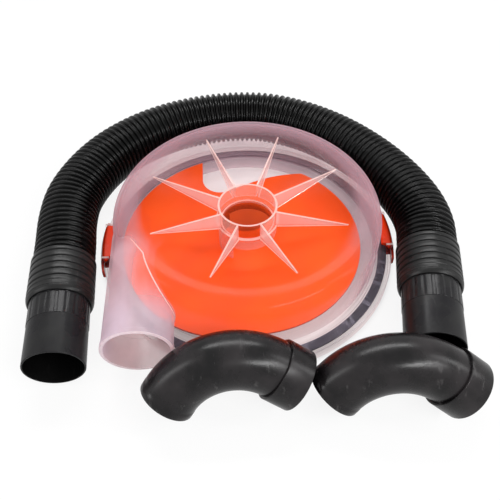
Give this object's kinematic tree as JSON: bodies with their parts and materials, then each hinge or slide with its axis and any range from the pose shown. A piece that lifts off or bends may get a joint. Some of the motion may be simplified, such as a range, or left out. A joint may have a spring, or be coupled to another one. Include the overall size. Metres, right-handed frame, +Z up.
{
  "type": "cyclone dust separator kit",
  "caption": "Clear cyclone separator head with orange baffle and rim latches, ribbed vacuum hose with swivel end nozzles, and loose elbows.",
  "frame": {"origin": "on the separator head's axis, in the plane of the surface that the kit lies on", "axes": "+Z up along the head's axis, the inlet's mouth faces -Y, the two latches lie on -X and +X"},
  "size_m": [0.4477, 0.4523, 0.0765],
  "materials": {
    "clear": "translucent, smooth",
    "gasket": "closed-cell sponge",
    "orange": "satin",
    "latch": "gloss",
    "hose": "satin",
    "collar": "satin",
    "nozzle": "satin",
    "elbow": "satin"
  },
  "bodies": {
    "head": {"shell_wall": "clear", "shell_shoulder": "clear", "inlet_wall": "clear", "shell_dish": "clear", "hub_gussets": "clear", "outlet_hub": "clear", "inlet_tube": "clear", "base_ring": "clear", "rim_skirt": "clear", "rim_rail": "clear", "latch_ears": "clear", "rim_gasket": "gasket", "baffle": "orange"},
    "latch_left": {"latch_left": "latch", "latch_pin_left": "latch"},
    "latch_right": {"latch_right": "latch", "latch_pin_right": "latch"},
    "hose": {"hose": "hose", "collar_left": "collar", "collar_right": "collar"},
    "nozzle_left": {"nozzle_left": "nozzle"},
    "nozzle_right": {"nozzle_right": "nozzle"},
    "elbow_left": {"elbow_left": "elbow", "elbow_cuff_left": "elbow"},
    "elbow_right": {"elbow_right": "elbow", "elbow_cuff_right": "elbow"}
  },
  "joints": [
    {"name": "latch_left_hinge", "type": "hinge", "parent": "head", "child": "latch_left", "pos_m": [-0.1545, 0, 0.017], "axis": [0, 1, 0], "range_deg": [0, 30]},
    {"name": "latch_right_hinge", "type": "hinge", "parent": "head", "child": "latch_right", "pos_m": [0.1545, 0, 0.017], "axis": [0, -1, 0], "range_deg": [0, 30]},
    {"name": "hose_lift", "type": "slide", "parent": "head", "child": "hose", "axis": [0, 0, 1], "range_m": [0, 0.15]},
    {"name": "nozzle_left_swivel", "type": "hinge", "parent": "hose", "child": "nozzle_left", "pos_m": [-0.18969, -0.08641, 0.0325], "axis": [0.061, -0.9981, 0], "continuous": true},
    {"name": "nozzle_right_swivel", "type": "hinge", "parent": "hose", "child": "nozzle_right", "pos_m": [0.17872, -0.08965, 0.0325], "axis": [-0.1908, -0.9816, 0], "continuous": true},
    {"name": "elbow_left_lift", "type": "slide", "parent": "head", "child": "elbow_left", "axis": [0, 0, 1], "range_m": [0, 0.15]},
    {"name": "elbow_right_lift", "type": "slide", "parent": "head", "child": "elbow_right", "axis": [0, 0, 1], "range_m": [0, 0.15]}
  ]
}
